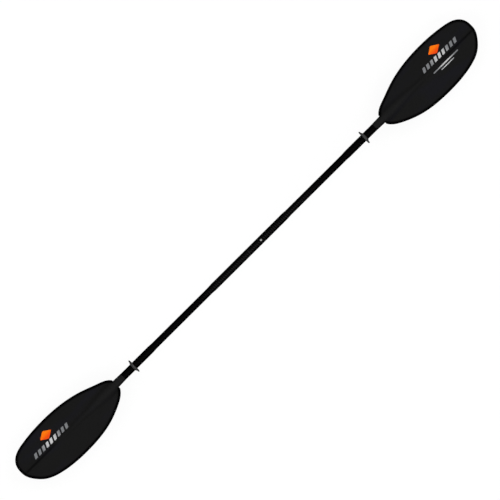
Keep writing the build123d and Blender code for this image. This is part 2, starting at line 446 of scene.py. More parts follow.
@dataclass(frozen=True)
class WoundGlass:
    """Filament-wound glass fibre in dark resin, ground to size."""

    resin: Colour = (0.007, 0.0074, 0.0078)
    fibre: Colour = (0.026, 0.027, 0.026)
    score: Colour = (0.085, 0.085, 0.083)
    winds_round: float = 18.0
    pitch: float = 0.0032

    def make(self) -> bpy.types.Material:
        """Builds two crossing sets of windings, with the fine rings that the grinding leaves.

        Returns:
            The material.
        """
        bench = NodeBench("ferrule_glassfibre")
        place = bench.place()
        x, y, z = bench.axes(place)
        angle = bench.sum("MULTIPLY", bench.sum("ARCTAN2", y, z), self.winds_round / (2 * math.pi))
        along = bench.sum("DIVIDE", x, self.pitch)
        one_way, other_way = (
            bench.sum("SINE", bench.sum("MULTIPLY", bench.sum(way, along, angle), 2 * math.pi))
            for way in ("ADD", "SUBTRACT")
        )
        winding = bench.sum("MULTIPLY_ADD", bench.sum("MAXIMUM", one_way, other_way), 0.5, 0.5)
        mottle = bench.noise(place, 300.0, 4.0)
        show = bench.sum("MULTIPLY", winding, bench.span(mottle, 0.3, 0.7, 0.2, 0.9))
        colour = bench.tint(show, self.resin, self.fibre)
        rings = bench.noise(bench.pack(bench.sum("MULTIPLY", x, 30.0), y, z), 260.0, 2.0)
        scores = bench.span(bench.noise(bench.stretch(place, (0.02, 1.0, 1.0)), 2600.0, 2.0), 0.62, 0.75)
        colour = bench.tint(bench.sum("MULTIPLY", scores, 0.35), colour, self.score)
        normal = bench.relief(rings, 0.00003, 0.5)
        normal = bench.relief(winding, 0.00002, 0.3, normal)
        bench.plain(Specular_IOR_Level=0.4)
        return bench.finish(colour, bench.span(mottle, 0.3, 0.7, 0.34, 0.5), normal)


@dataclass(frozen=True)
class MouldedPlug:
    """Plain injection-moulded plastic with a spark-eroded grain."""

    base: Colour = (0.012, 0.012, 0.013)
    pale: Colour = (0.020, 0.020, 0.021)

    def make(self) -> bpy.types.Material:
        """Builds the grain and the slight clouding of the moulding.

        Returns:
            The material.
        """
        bench = NodeBench("plug_plastic")
        place = bench.place()
        cloud = bench.noise(place, 160.0, 4.0)
        grain = bench.cells(place, 2600.0)
        colour = bench.tint(bench.span(cloud, 0.35, 0.65), self.base, self.pale)
        roughness = bench.span(cloud, 0.3, 0.7, 0.48, 0.62)
        return bench.finish(colour, roughness, bench.relief(grain, 0.00004, 0.5))


@dataclass(frozen=True)
class DrawnSteel:
    """Stainless steel, with scratches that run one way and a little staining."""

    name: str
    bright: Colour
    stained: Colour
    lay: tuple[float, float, float]
    smooth: float
    rough: float
    metal: float = 1.0

    def make(self) -> bpy.types.Material:
        """Builds the scratches and the stain.

        Returns:
            The material.
        """
        bench = NodeBench(self.name)
        place = bench.place()
        scratches = bench.noise(bench.stretch(place, self.lay), 3200.0, 3.0)
        stain = bench.noise(place, 420.0, 4.0)
        colour = bench.tint(bench.span(stain, 0.45, 0.75), self.bright, self.stained)
        roughness = bench.span(scratches, 0.3, 0.7, self.smooth, self.rough)
        bench.plain(Metallic=self.metal)
        return bench.finish(colour, roughness, bench.relief(scratches, 0.000012, 0.5))


@dataclass(frozen=True)
class ClosedCellFoam:
    """Cut closed-cell foam with open skins of small cells on the cut."""

    skin: Colour = (0.52, 0.50, 0.46)
    # Painted shade for the cells' hollows.
    pit_shade: Colour = (0.30, 0.29, 0.26)

    def make(self) -> bpy.types.Material:
        """Builds two sizes of cells, with painted shade in their hollows.

        Returns:
            The material.
        """
        bench = NodeBench("bung_foam")
        place = bench.place()
        walls = bench.span(bench.cells(place, 900.0, edges=True), 0.0, 0.22)
        fine = bench.span(bench.cells(place, 2300.0, edges=True), 0.0, 0.25)
        cells = bench.sum("MULTIPLY_ADD", walls, 0.7, bench.sum("MULTIPLY", fine, 0.3))
        # Painted shade: the cells' hollows are darker.
        colour = bench.tint(cells, self.skin, self.pit_shade)
        bench.plain(Specular_IOR_Level=0.2)
        return bench.finish(colour, 0.9, bench.relief(bench.sum("SUBTRACT", 1.0, cells), 0.0004, 0.8))


@dataclass(frozen=True)
class RingRubber:
    """Soft grey rubber with a bloom that gathers in patches."""

    base: Colour = (0.060, 0.060, 0.061)
    bloom: Colour = (0.092, 0.092, 0.092)
    # Painted shade for the lip, which faces sideways at the ring's tips.
    lip: Colour = (0.040, 0.040, 0.040)
    dust: Colour = (0.16, 0.16, 0.155)
    lip_from: float = 0.0245
    lip_to: float = 0.0262
    lathe_pitch: float = 0.0007

    def make(self) -> bpy.types.Material:
        """Builds the bloom, the dust, the moulding's lathe rings and the painted shade on the lip.

        Returns:
            The material.
        """
        bench = NodeBench("ring_rubber")
        place = bench.place()
        _, y, z = bench.axes(place)
        radius = bench.sum("SQRT", bench.sum("MULTIPLY_ADD", y, y, bench.sum("MULTIPLY", z, z)))
        cloud = bench.noise(place, 120.0, 5.0)
        colour = bench.tint(bench.span(cloud, 0.35, 0.7), self.base, self.bloom)
        # Painted shade: the lip is darker.
        colour = bench.tint(bench.span(radius, self.lip_from, self.lip_to, 0.0, 0.7), colour, self.lip)
        dust = bench.span(bench.noise(place, 1900.0, 3.0), 0.6, 0.72)
        colour = bench.tint(bench.sum("MULTIPLY", dust, 0.3), colour, self.dust)
        turned = bench.sum("SINE", bench.sum("MULTIPLY", radius, 2 * math.pi / self.lathe_pitch))
        normal = bench.relief(bench.sum("MULTIPLY_ADD", turned, 0.5, 0.5), 0.00002, 0.4)
        normal = bench.relief(bench.noise(place, 2400.0, 2.0), 0.00004, 0.5, normal)
        bench.plain(Specular_IOR_Level=1.0)
        return bench.finish(colour, bench.span(cloud, 0.3, 0.7, 0.36, 0.48), normal)


@dataclass(frozen=True)
class PrintedFilm:
    """Printed film that fades from one colour to another across the blade, with a dotted screen."""

    name: str
    near: Colour
    far: Colour
    fade_axis: int
    fade_from: float
    fade_to: float
    rough: float = 0.42
    scratch: Colour = (0.02, 0.02, 0.02)

    def make(self) -> bpy.types.Material:
        """Builds the fade, the print's screen and a few scratches.

        Returns:
            The material.
        """
        bench = NodeBench(self.name)
        place = bench.place()
        part = bench.sum("ABSOLUTE", bench.axes(place)[self.fade_axis])
        colour = bench.tint(bench.span(part, self.fade_from, self.fade_to), self.near, self.far)
        screen = bench.span(bench.cells(bench.stretch(place, (1.0, 1.0, 0.0)), 1400.0), 0.15, 0.5, 0.0, 0.12)
        colour = bench.tint(screen, colour, tuple(0.6 * tone for tone in self.near))
        scratched = bench.noise(bench.stretch(place, (0.1, 1.0, 1.0)), 2200.0, 4.0)
        colour = bench.tint(bench.span(scratched, 0.66, 0.74, 0.0, 0.45), colour, self.scratch)
        bench.plain(Specular_IOR_Level=0.12)
        roughness = bench.span(scratched, 0.3, 0.7, self.rough - 0.08, self.rough + 0.08)
        return bench.finish(colour, roughness, bench.relief(scratched, 0.00001, 0.4))


@dataclass(frozen=True)
class SilverFilm:
    """Silver film, whitest under the badge and greyer towards the ends of the row."""

    white: Colour = (0.60, 0.60, 0.60)
    silver: Colour = (0.165, 0.17, 0.18)
    line: Colour = (0.16, 0.165, 0.17)
    bare: Colour = (0.03, 0.03, 0.03)
    middle: float = 0.95

    def make(self) -> bpy.types.Material:
        """Builds the fade along the row, the brushed lines and the wear.

        Returns:
            The material.
        """
        bench = NodeBench("silver_film")
        place = bench.place()
        x, _, _ = bench.axes(place)
        away = bench.sum("ABSOLUTE", bench.sum("SUBTRACT", bench.sum("ABSOLUTE", x), self.middle))
        colour = bench.tint(bench.span(away, 0.008, 0.045), self.white, self.silver)
        brushed = bench.noise(bench.stretch(place, (0.04, 1.0, 1.0)), 5200.0, 2.0)
        colour = bench.tint(bench.span(brushed, 0.35, 0.75, 0.0, 0.5), colour, self.line)
        worn = bench.span(bench.noise(place, 900.0, 5.0), 0.66, 0.72, 0.0, 0.6)
        colour = bench.tint(worn, colour, self.bare)
        bench.plain(Specular_IOR_Level=0.5)
        roughness = bench.span(brushed, 0.3, 0.7, 0.3, 0.5)
        return bench.finish(colour, roughness, bench.relief(brushed, 0.00001, 0.5))


@dataclass
class FinishRack:
    """Every finish on the paddle, made once and handed out by slot name."""

    made: dict[str, bpy.types.Material] = field(default_factory=dict)

    def fill(self) -> None:
        """Makes all ten finishes."""
        rolled, brushed = (0.06, 1.0, 1.0), (1.0, 1.0, 0.2)
        leaf = DrawnSteel("spring_steel", (0.50, 0.50, 0.49), (0.33, 0.32, 0.30), rolled, 0.24, 0.40)
        button = DrawnSteel("button_steel", (0.88, 0.88, 0.87), (0.72, 0.71, 0.69), brushed, 0.30, 0.44, 0.86)
        badge = PrintedFilm("orange_film", (0.82, 0.060, 0.002), (0.95, 0.190, 0.0008), 1, 0.034, 0.056)
        finishes = {
            "blade_nylon": BladeNylon(),
            "carbon_tube": CarbonTube(),
            "ferrule_glassfibre": WoundGlass(),
            "plug_plastic": MouldedPlug(),
            "spring_steel": leaf,
            "button_steel": button,
            "bung_foam": ClosedCellFoam(),
            "ring_rubber": RingRubber(),
            "orange_film": badge,
            "silver_film": SilverFilm(),
        }
        for slot, finish in finishes.items():
            self.made[slot] = finish.make()

    def dress(self, piece: bpy.types.Object, slot: str) -> None:
        """Puts a finish on a piece or on a CAD node.

        Args:
            piece: The object to dress.
            slot: The finish's slot name in the record.
        """
        piece.data.materials.clear()
        piece.data.materials.append(self.made[slot])


# ---------------------------------------------------------------- mesh making


@dataclass
class MeshDraft:
    """Points in millimetres, faces and point traits of a piece that is being built."""

    points: list[tuple[float, float, float]] = field(default_factory=list)
    faces: list[tuple[int, ...]] = field(default_factory=list)
    traits: dict[str, list[float]] = field(default_factory=dict)

    def add_rows(self, rows: np.ndarray, loop: bool, **traits: np.ndarray) -> int:
        """Adds a grid of points with quads between neighbouring rows.

        Args:
            rows: Points, as rows by points in a row by three.
            loop: Whether each row closes on itself.
            **traits: A number for each point.

        Returns:
            The index of the first new point.
        """
        start = len(self.points)
        count, width = rows.shape[:2]
        self.points += [tuple(point) for point in rows.reshape(-1, 3)]
        for name, values in traits.items():
            self.traits.setdefault(name, []).extend(np.asarray(values, float).reshape(-1))
        last = width if loop else width - 1
        for row in range(count - 1):
            here, there = start + row * width, start + (row + 1) * width
            for k in range(last):
                n = (k + 1) % width
                self.faces.append((here + k, here + n, there + n, there + k))
        return start

    def cap(self, first: int, count: int, backward: bool = False) -> None:
        """Closes a row of points with one face.

        Args:
            first: The row's first index.
            count: How many points the row has.
            backward: Whether the face looks back, away from the rows that follow.
        """
        row = range(first, first + count)
        self.faces.append(tuple(reversed(row)) if backward else tuple(row))

    def build(self, name: str, mirrored: bool = False, sharp: float = 40.0) -> bpy.types.Object:
        """Turns the draft into an object in metres.

        Args:
            name: The piece's name.
            mirrored: Whether to mirror it to the left end.
            sharp: The angle over which an edge stays crisp, in degrees.

        Returns:
            The new object, linked to the scene.
        """
        sign = -1.0 if mirrored else 1.0
        mesh = bpy.data.meshes.new(name)
        mesh.from_pydata([(sign * x * MM, y * MM, z * MM) for x, y, z in self.points], [], self.faces)
        for trait, values in self.traits.items():
            numbers = mesh.attributes.new(trait, "FLOAT", "POINT").data
            numbers.foreach_set("value", np.array(values, np.float32))
        work = bmesh.new()
        work.from_mesh(mesh)
        bmesh.ops.remove_doubles(work, verts=work.verts, dist=WELD)
        bmesh.ops.dissolve_degenerate(work, edges=work.edges, dist=SLIVER)
        bmesh.ops.recalc_face_normals(work, faces=work.faces)
        for face in work.faces:
            face.smooth = True
        limit = math.radians(sharp)
        for edge in work.edges:
            edge.smooth = not (len(edge.link_faces) == 2 and edge.calc_face_angle(0.0) > limit)
        work.to_mesh(mesh)
        work.free()
        piece = bpy.data.objects.new(name, mesh)
        bpy.context.scene.collection.objects.link(piece)
        return piece


def cubic_through(points: Sequence[Sequence[float]], samples: int) -> np.ndarray:
    """A natural cubic curve through points, spaced by chord length.

    Args:
        points: The points it passes through.
        samples: How many points to return.

    Returns:
        The sampled curve.
    """
    knots = np.array(points, float)
    at = np.r_[0.0, np.cumsum(np.linalg.norm(np.diff(knots, axis=0), axis=1))]
    return cubic_table(at, knots, np.linspace(0.0, at[-1], samples))


def cubic_table(at: np.ndarray, values: np.ndarray, where: np.ndarray) -> np.ndarray:
    """A natural cubic through a table.

    Args:
        at: Where the table's rows stand, rising.
        values: One row of numbers for each.
        where: Where to read the curve.

    Returns:
        One row of numbers for each place.
    """
    count = len(at)
    gap = np.diff(at)
    matrix = np.eye(count)
    right = np.zeros_like(values, float)
    for i in range(1, count - 1):
        matrix[i, i - 1 : i + 2] = gap[i - 1], 2 * (gap[i - 1] + gap[i]), gap[i]
        right[i] = 6 * ((values[i + 1] - values[i]) / gap[i] - (values[i] - values[i - 1]) / gap[i - 1])
    bend = np.linalg.solve(matrix, right)
    k = np.clip(np.searchsorted(at, where, side="right") - 1, 0, count - 2)
    left, rest = (where - at[k])[:, None], (at[k + 1] - where)[:, None]
    h = gap[k][:, None]
    return (
        bend[k] * rest**3 / (6 * h)
        + bend[k + 1] * left**3 / (6 * h)
        + (values[k] / h - bend[k] * h / 6) * rest
        + (values[k + 1] / h - bend[k + 1] * h / 6) * left
    )


def resample(rows: np.ndarray, shares: np.ndarray) -> np.ndarray:
    """Rows at given shares of the length that their first two columns run.

    Args:
        rows: A curve's points, with any further columns.
        shares: Where to read it.

    Returns:
        The rows there.
    """
    run = np.r_[0.0, np.cumsum(np.linalg.norm(np.diff(rows[:, :2], axis=0), axis=1))]
    return np.stack([np.interp(shares * run[-1], run, column) for column in rows.T], axis=1)


def smooth_step(value: np.ndarray, low: float, high: float) -> np.ndarray:
    """0 below low, 1 above high and smooth between them."""
    share = np.clip((value - low) / (high - low), 0.0, 1.0)
    return share * share * (3 - 2 * share)


def softened(corners: Sequence[Point2], radius: float, per_corner: int = 7) -> np.ndarray:
    """A polygon's outline with rounded corners.

    Args:
        corners: The polygon.
        radius: How far from each corner the rounding starts.
        per_corner: How many points round each corner.

    Returns:
        The outline's points.
    """
    points, sharp = [], np.array(corners, float)
    for before, corner, after in zip(np.roll(sharp, 1, axis=0), sharp, np.roll(sharp, -1, axis=0)):
        start = corner + (before - corner) / np.linalg.norm(before - corner) * radius
        stop = corner + (after - corner) / np.linalg.norm(after - corner) * radius
        for t in np.linspace(0, 1, per_corner):
            points.append((1 - t) ** 2 * start + 2 * t * (1 - t) * corner + t**2 * stop)
    outline = np.array(points)
    closed = np.vstack([outline, outline[:1]])
    return resample(closed, np.linspace(0, 1, 97))[:-1]


def turned_rows(profile: Sequence[Point2], segments: int, upright: bool = False) -> np.ndarray:
    """A profile turned about the shaft's axis or about an upright one.

    Args:
        profile: Points as distance along the axis and radius.
        segments: How many steps round.
        upright: Whether the axis is Z and not X.

    Returns:
        A ring of points for each point of the profile.
    """
    turn = np.linspace(0, 2 * math.pi, segments, endpoint=False)
    rows = np.array([[(at, r * math.cos(a), r * math.sin(a)) for a in turn] for at, r in profile])
    return np.roll(rows, -1, axis=2) if upright else rows


# ---------------------------------------------------------------- sub-assemblies


@dataclass(frozen=True)
class BladeShape:
    """The blade's sizes in millimetres, measured past the shoulder and out from the axis."""

    shoulder: float = 647.0
    length: float = 453.0
    dish_depth: float = 17.0
    tip_rise: float = 6.0
    dihedral: float = 0.09
    fold_round: float = 3.0
    thick: float = 3.2
    thinning: float = 0.9
    rim_round: float = 1.35
    shaft_r: float = 13.6
    neck_length: float = 33.0
    tenon_length: float = 64.0
    tenon_r: float = 11.95
    tenon_bore_r: float = 8.5
    tenon_bore_depth: float = 84.0
    crease_depth: float = 1.0
    crease_wide: float = 2.2
    crease_start: Point2 = (275, 320)
    crease_stop: Point2 = (440, 452)
    blend: float = 5.0
    root_blend: float = 16.0
    root_fade: Point2 = (30, 170)
    outline: tuple[Point2, ...] = (
        (0, 14.5), (13, 28), (53, 47), (113, 68.5), (203, 86.8), (293, 90.4), (383, 82), (433, 63.5),
        (449, 42), (453, 17), (450, -8),
        (435, -35.5), (408, -63), (353, -85.5), (248, -96.4), (178, -93.6), (113, -82), (53, -59),
        (13, -33), (0, -16),
    )
    spine: tuple[tuple[float, float, float, float], ...] = (
        (-33, 13.6, 13.6, 0.0), (-14, 14.2, 14.2, 0.0), (4, 14.7, 14.7, 0.0), (60, 12.4, 10.6, 3.2),
        (140, 9.6, 7.0, 9.4), (220, 6.6, 3.9, 14.2), (285, 3.6, 1.9, 16.2), (335, 2.2, 0.8, 15.9),
        (460, 2.0, 0.5, 12.0),
    )

    def dish(self, past: np.ndarray) -> np.ndarray:
        """Height of the power face's fold over the axis."""
        share = past / self.length
        return -6.75 * self.dish_depth * share**2 * (1 - share) + self.tip_rise * share**3

    def spine_at(self, past: np.ndarray) -> np.ndarray:
        """Half-width, half-height and depth of the spine.

        Args:
            past: Distances past the shoulder.

        Returns:
            Three numbers for each distance.
        """
        table = np.array(self.spine, float)
        found = cubic_table(table[:, 0], table[:, 1:], np.asarray(past, float).reshape(-1))
        found[:, :2] = np.maximum(found[:, :2], (1.6, 0.4))
        return found.reshape(*np.shape(past), 3)

    def surface(self, past: np.ndarray, out: np.ndarray, face: Face) -> np.ndarray:
        """Height of one face, with the spine blended into the plate.

        Args:
            past: Distances past the shoulder.
            out: Distances from the axis.
            face: Which face.

        Returns:
            The heights.
        """
        fold = self.dish(past) - self.dihedral * (np.sqrt(out**2 + self.fold_round**2) - self.fold_round)
        crease = smooth_step(past, *self.crease_start) * (1 - smooth_step(past, *self.crease_stop))
        plate = fold - crease * self.crease_depth * np.exp(-((out / self.crease_wide) ** 2))
        if face is Face.BACK:
            plate = fold - self.thick + self.thinning * (np.abs(out) / 96.0) ** 2
        half_wide, half_high, depth = np.moveaxis(self.spine_at(past), -1, 0)
        blend = self.blend + self.root_blend * (1 - smooth_step(past, *self.root_fade))
        sign = face.value
        low, high = np.zeros_like(plate), np.full_like(plate, 30.0)
        for _ in range(26):
            middle = (low + high) / 2
            z = plate + sign * middle
            ring = np.sqrt((out / half_wide) ** 2 + ((z + depth) / half_high) ** 2) - 1
            to_spine = ring * np.minimum(half_wide, half_high)
            mix = np.maximum(blend - np.abs(to_spine - middle), 0) / blend
            gap = np.minimum(to_spine, middle) - mix**2 * blend / 4
            low, high = np.where(gap < 0, middle, low), np.where(gap < 0, high, middle)
        return plate + sign * (low + high) / 2


@dataclass
class Blade:
    """One blade: a dished plate with a dihedral, a spine blended into it, a rounded rim, and the neck."""

    end: End
    rack: FinishRack
    shape: BladeShape = BladeShape()
    ribs: int = 150
    spine_rows: int = 13
    fillet_rows: int = 7
    plate_rows: int = 16
    rim_rows: int = 9
    swing_from: float = 380.0
    rim_band: Point2 = (6.0, 12.5)
    worn_tip: Point2 = (400, 450)
    worn_rim: Point2 = (1.0, 7.0)
    shade_depth: float = 0.62
    shade_wide: float = 4.5
    parting_wide: float = 0.55
    parting_high: float = 0.12

    def sides(self) -> tuple[np.ndarray, np.ndarray, np.ndarray, np.ndarray]:
        """The long and the short edge from the shoulder to the tip, and their inward directions.

        Returns:
            The long edge, the short edge, and the inward directions along each.
        """
        curve = cubic_through(self.shape.outline, 6000)
        slope = np.gradient(curve, axis=0)
        inward = np.stack([slope[:, 1], -slope[:, 0]], axis=1) / np.linalg.norm(slope, axis=1)[:, None]
        tip = int(np.argmax((curve[:, 1] <= 0) & (curve[:, 0] > 400)))
        step = np.linspace(0, 1, self.ribs)
        shares = 0.012 + 0.988 * (0.45 * step + 0.55 * (1 - np.cos(np.pi * step)) / 2)
        joined = np.hstack([curve, inward])
        long_side = resample(joined[: tip + 1], shares)
        short_side = resample(joined[tip:][::-1], shares)
        return long_side[:, :2], short_side[:, :2], long_side[:, 2:], short_side[:, 2:]

    def row_shares(self, edge: np.ndarray, spine_wide: np.ndarray) -> np.ndarray:
        """Distances from the axis of a rib's points, out to its edge.

        Args:
            edge: Each rib's distance to its inset edge.
            spine_wide: Each rib's spine half-width.

        Returns:
            Ribs by points.
        """
        turn = np.linspace(0, math.radians(80), self.spine_rows)
        fit = np.minimum(1.0, 0.93 * edge / (spine_wide + 7.0))
        spine = np.sin(turn)[None, :] * (spine_wide * fit)[:, None]
        first, last = spine[:, -1], (spine_wide + 7.0) * fit
        fillet = first[:, None] + np.linspace(0, 1, self.fillet_rows + 1)[None, 1:] * (last - first)[:, None]
        plate = last[:, None] + np.linspace(0, 1, self.plate_rows + 1)[None, 1:] * (edge - last)[:, None]
        return np.hstack([spine, fillet, plate])

    def plate_draft(self) -> MeshDraft:
        """The plate with its spine and rim, as closed loops from the shoulder to the tip.

        Returns:
            The draft, with its traits.
        """
        shape = self.shape
        edge_l, edge_s, in_l, in_s = self.sides()
        inset_l, inset_s = edge_l + in_l * shape.rim_round, edge_s + in_s * shape.rim_round
        inset_l[-1] = inset_s[-1] = (inset_l[-1] + inset_s[-1]) / 2
        middle = (inset_l[:, 0] + inset_s[:, 0]) / 2
        spine_wide = shape.spine_at(middle)[:, 0]
        halves = []
        centre = inset_l[-1, 1] * smooth_step(middle, self.swing_from, middle[-1])
        for inset, side in ((inset_l, 1e-9), (inset_s, -1e-9)):
            reach = np.maximum(np.abs(inset[:, 1] - centre), 1e-4)
            rows = self.row_shares(reach, spine_wide)
            share = smooth_step(rows / reach[:, None], 0.1, 1.0)
            past = middle[:, None] + share * (inset[:, 0] - middle)[:, None]
            out = centre[:, None] + np.sign(inset[:, 1] - centre + side)[:, None] * rows
            halves.append((past, out))
        past = np.hstack([halves[1][0][:, ::-1], halves[0][0][:, 1:]])
        out = np.hstack([halves[1][1][:, ::-1], halves[0][1][:, 1:]])
        top, bottom = shape.surface(past, out, Face.POWER), shape.surface(past, out, Face.BACK)
        turn = np.linspace(math.pi / 2, -math.pi / 2, self.rim_rows + 2)[1:-1]
        rims = []
        for edge, inward, column in ((edge_l, in_l, -1), (edge_s, in_s, 0)):
            back = shape.rim_round * (1 - np.cos(turn))
            x = edge[:, :1] + inward[:, :1] * back
            y = edge[:, 1:] + inward[:, 1:] * back
            level, half = (top[:, column] + bottom[:, column]) / 2, (top[:, column] - bottom[:, column]) / 2
            rims.append(np.stack([x, y, level[:, None] + half[:, None] * np.sin(turn)], axis=-1))
        upper, lower = np.stack([past, out, top], axis=-1), np.stack([past, out, bottom], axis=-1)
        loops = np.concatenate([upper, rims[0], lower[:, ::-1], rims[1][:, ::-1]], axis=1)
        past, out = loops[..., 0], loops[..., 1]
        near = self.edge_distance(past, out, edge_l, edge_s)
        # Painted shade mask: the band along the outline and the crease near the tip.
        rim = np.maximum(1 - smooth_step(near, *self.rim_band), self.crease_share(past, out))
        # Painted highlight mask on the neck and the spine's start.
        root = self.root_share(past, out)
        tip = smooth_step(past, *self.worn_tip) * (1 - smooth_step(near, *self.worn_rim))
        loops = loops + (shape.shoulder, 0, 0)
        draft = MeshDraft()
        start = draft.add_rows(loops, loop=True, rim=rim, root=root, tip=tip)
        draft.cap(start, loops.shape[1], backward=True)
        return draft

    @staticmethod
    def edge_distance(
        past: np.ndarray, out: np.ndarray, edge_l: np.ndarray, edge_s: np.ndarray
    ) -> np.ndarray:
        """Distance of points from the blade's outline, seen from above.

        Args:
            past: Distances past the shoulder.
            out: Distances from the axis.
            edge_l: The long edge's points.
            edge_s: The short edge's points.

        Returns:
            The distances.
        """
        outline = np.vstack([edge_l, edge_s[::-1]])
        flat = np.stack([past.reshape(-1), out.reshape(-1)], axis=1)
        best = np.full(len(flat), 1e9)
        for start in range(0, len(flat), 4000):
            part = flat[start : start + 4000]
            away = np.linalg.norm(part[:, None, :] - outline[None, :, :], axis=2)
            best[start : start + 4000] = away.min(axis=1)
        return best.reshape(past.shape)

    def crease_share(self, past: np.ndarray, out: np.ndarray) -> np.ndarray:
        """How deep in the shade of the crease near the tip a point lies.

        Args:
            past: Distances past the shoulder.
            out: Distances from the axis.

        Returns:
            Shares from 0 to 1.
        """
        along = smooth_step(past, 265, 330) * (1 - smooth_step(past, 436, 452))
        return self.shade_depth * along * np.exp(-((out / self.shade_wide) ** 2))

    def root_share(self, past: np.ndarray, out: np.ndarray) -> np.ndarray:
        """How much of the painted highlight a point has: all of it on the neck and the spine's start.

        Args:
            past: Distances past the shoulder.
            out: Distances from the axis.

        Returns:
            Shares from 0 to 1.
        """
        wide = self.shape.spine_at(past)[..., 0]
        along = 1 - smooth_step(past, -20, 260)
        return along * (1 - smooth_step(np.abs(out), 0.6 * wide, 1.5 * wide + 3))

    def neck_draft(self, draft: MeshDraft) -> None:
        """Adds the neck, its parting line and the bored tenon that is glued in the shaft.

        Args:
            draft: The draft to add to.
        """
        shape = self.shape
        base = shape.shoulder - shape.neck_length
        tenon = base - shape.tenon_length
        profile = [(tenon, shape.tenon_bore_r), (tenon, shape.tenon_r - 0.8), (tenon + 0.8, shape.tenon_r)]
        profile += [(base - 0.6, shape.tenon_r), (base + 0.05, shape.tenon_r + 0.1)]
        profile += [(base + 0.05, shape.shaft_r - 0.25), (base + 0.3, shape.shaft_r)]
        for past in np.linspace(-32, 12, 30):
            dive = 0.02 - 0.35 * smooth_step(np.array(past), 3.0, 12.0)
            wide = float(shape.spine_at(np.array([past]))[0, 0])
            profile.append((shape.shoulder + past, wide + float(dive)))
        bore_end = tenon + shape.tenon_bore_depth
        profile += [(shape.shoulder + 12, 4.0), (bore_end, 4.0), (bore_end, shape.tenon_bore_r)]
        rows = turned_rows([*profile, profile[0]], 96)
        past = rows[..., 0] - shape.shoulder
        on_skin = np.hypot(rows[..., 1], rows[..., 2]) > 13.0
        parting = np.exp(-((rows[..., 2] / self.parting_wide) ** 2)) * on_skin
        rows[..., 1] += self.parting_high * parting * np.sign(rows[..., 1])
        zero = np.zeros_like(past)
        # The neck gets no painted rim shade and gets the painted highlight in full.
        draft.add_rows(rows, loop=True, rim=zero, root=self.root_share(past, zero), tip=zero)

    def build(self) -> bpy.types.Object:
        """Builds and dresses the blade, and sets it on its half of the paddle.

        Returns:
            The blade.
        """
        draft = self.plate_draft()
        self.neck_draft(draft)
        name = f"{self.end.word}_blade_moulding"
        piece = draft.build(name, mirrored=self.end is End.LEFT)
        self.rack.dress(piece, "blade_nylon")
        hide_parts(f"{self.end.word}_blade")
        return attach(piece, self.end.body)


@dataclass
class BladeGraphics:
    """The films on one blade's power face: a rhombus badge, a row of slanted bars and fine lines."""

    end: End
    rack: FinishRack
    shape: BladeShape = BladeShape()
    centre: float = 303.0
    badge_y: float = 46.5
    badge_half: Point2 = (27.0, 17.5)
    bars: int = 9
    pitch: float = 18.5
    bar_wide: float = 11.5
    bar_high: float = 17.0
    lean: float = 8.0
    bar_y: float = 10.0
    lines: tuple[tuple[float, float, float], ...] = ((-13.0, 118.0, 4.4), (-23.0, 60.0, 3.0))
    lift: float = 0.03
    film: float = 0.11
    bar_round: float = 1.6
    badge_round: float = 5.0
    line_round: float = 1.2

    def patch(self, draft: MeshDraft, outline: np.ndarray) -> None:
        """Lays one film patch on the power face, with a soft edge.

        Args:
            draft: The draft to add to.
            outline: The patch's outline, past the shoulder and out from the axis.
        """
        middle = outline.mean(axis=0)
        rings = []
        eased_edge = ((1.0, -0.01), (1.0, 0.6), (0.985, 0.95), (0.96, 1.0))
        for share, height in (*eased_edge, *((share, 1.0) for share in (0.8, 0.6, 0.4, 0.2, 0.03))):
            flat = middle + (outline - middle) * share
            z = self.shape.surface(flat[:, 0], flat[:, 1], Face.POWER) + self.lift + self.film * height
            rings.append(np.stack([flat[:, 0] + self.shape.shoulder, flat[:, 1], z], axis=1))
        start = draft.add_rows(np.array(rings), loop=True)
        width = len(outline)
        draft.cap(start + (len(rings) - 1) * width, width)
        draft.cap(start, width, backward=True)

    def bar_outline(self, number: int) -> np.ndarray:
        """One slanted bar's outline.

        Args:
            number: Which bar, from the shoulder on.

        Returns:
            Points past the shoulder and out from the axis.
        """
        lean = self.lean * self.end.value
        left = self.centre + (number - (self.bars - 1) / 2) * self.pitch - (self.bar_wide + lean) / 2
        right, foot, top = left + self.bar_wide, self.bar_y, self.bar_y + self.bar_high
        corners = ((left, foot), (right, foot), (right + lean, top), (left + lean, top))
        return softened(corners, self.bar_round)

    def badge_outline(self) -> np.ndarray:
        """The badge's outline.

        Returns:
            Points past the shoulder and out from the axis.
        """
        (wide, high), x, y = self.badge_half, self.centre, self.badge_y
        return softened(((x - wide, y), (x, y - high), (x + wide, y), (x, y + high)), self.badge_round)

    def finish(self, draft: MeshDraft, kind: str, slot: str) -> bpy.types.Object:
        """Turns one draft into a dressed piece on its blade.

        Args:
            draft: The film's patches.
            kind: The end of the CAD node's name.
            slot: The finish's slot.

        Returns:
            The piece.
        """
        piece = draft.build(f"{self.end.word}_{kind}_film", mirrored=self.end is End.LEFT)
        self.rack.dress(piece, slot)
        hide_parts(f"{self.end.word}_blade_{kind}")
        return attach(piece, self.end.body)

    def build(self) -> list[bpy.types.Object]:
        """Builds the badge, the bars and, on the right blade, the fine lines.

        Returns:
            The pieces.
        """
        badge, bars, lines = MeshDraft(), MeshDraft(), MeshDraft()
        self.patch(badge, self.badge_outline())
        for number in range(self.bars):
            self.patch(bars, self.bar_outline(number))
        made = [self.finish(badge, "badge", "orange_film"), self.finish(bars, "stripes", "silver_film")]
        if self.end is End.RIGHT:
            for out, long, wide in self.lines:
                left, right = self.centre - long / 2, self.centre + long / 2
                foot, top = out - wide / 2, out + wide / 2
                corners = ((left, foot), (right, foot), (right, top), (left, top))
                self.patch(lines, softened(corners, self.line_round))
            made.append(self.finish(lines, "pinstripes", "silver_film"))
        return made


